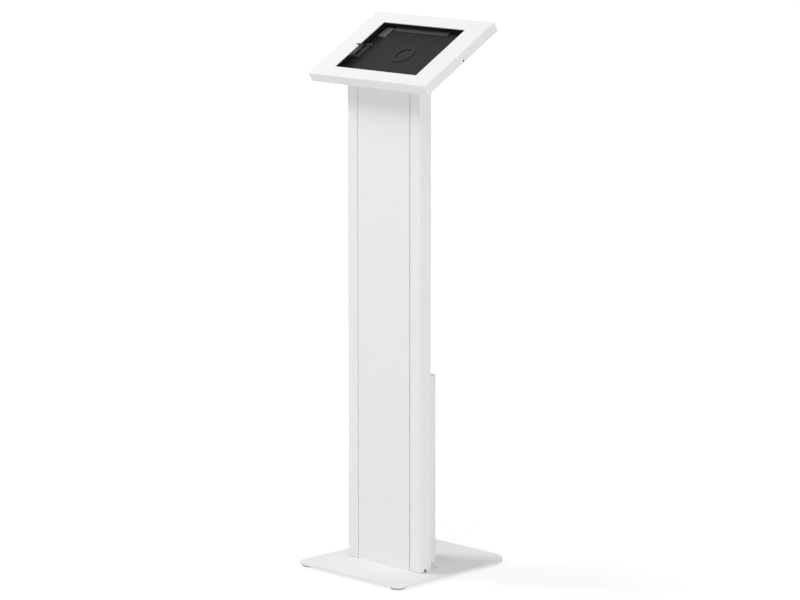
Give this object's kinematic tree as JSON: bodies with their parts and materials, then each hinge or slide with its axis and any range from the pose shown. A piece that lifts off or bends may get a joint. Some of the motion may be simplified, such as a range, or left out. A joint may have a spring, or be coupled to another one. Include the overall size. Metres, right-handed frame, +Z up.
{
  "type": "tablet kiosk stand",
  "caption": "White floor stand with a flat base plate, a folded sheet column with a sliding rear cover, and a tilted locking tablet case with a lift-off frame.",
  "frame": {"origin": "on the floor under the middle of the base plate", "axes": "+Z up along the column, -Y to the front that the user faces, +X to the user's right"},
  "size_m": [0.33, 0.33, 1.1023],
  "materials": {
    "white_coat": "satin white powder coat on sheet steel",
    "black_abs": "fine-textured black moulding",
    "grey_foam": "closed-cell grey foam",
    "black_rubber": "matt black rubber",
    "foot_pad": "pale grey rubber",
    "zinc_steel": "bright zinc plating",
    "black_screw": "black oxide",
    "foam_tape": "black acrylic foam tape"
  },
  "bodies": {
    "stand": {"base_plate": "white_coat", "feet": "foot_pad", "base_screws": "zinc_steel", "column_foot": "white_coat", "foot_screws": "zinc_steel", "foot_nuts": "zinc_steel", "column_shell": "white_coat", "front_panel": "white_coat", "panel_tapes": "foam_tape", "column_grommet": "black_rubber", "cover_rails": "white_coat", "rail_screws": "zinc_steel", "head_bracket": "white_coat", "bracket_screws": "zinc_steel", "bracket_nuts": "zinc_steel", "vesa_screws": "black_screw", "vesa_nuts": "zinc_steel", "head_grommet": "black_rubber", "case_back": "white_coat", "tablet_tray": "black_abs", "foam_strip_top": "grey_foam", "foam_strip_bottom": "grey_foam", "foam_pad_left": "grey_foam", "plug_bracket": "black_abs", "plug_screws": "black_screw"},
    "front_frame": {"front_frame": "white_coat", "lock_nuts": "zinc_steel", "security_screws": "black_screw"},
    "rear_cover": {"rear_cover": "white_coat"}
  },
  "joints": [
    {"name": "front_frame_lift", "type": "slide", "parent": "stand", "child": "front_frame", "axis": [0, -0.5, 0.866], "range_m": [0, 0.06]},
    {"name": "rear_cover_slide", "type": "slide", "parent": "stand", "child": "rear_cover", "axis": [0, 0, 1], "range_m": [0, 0.38]}
  ]
}
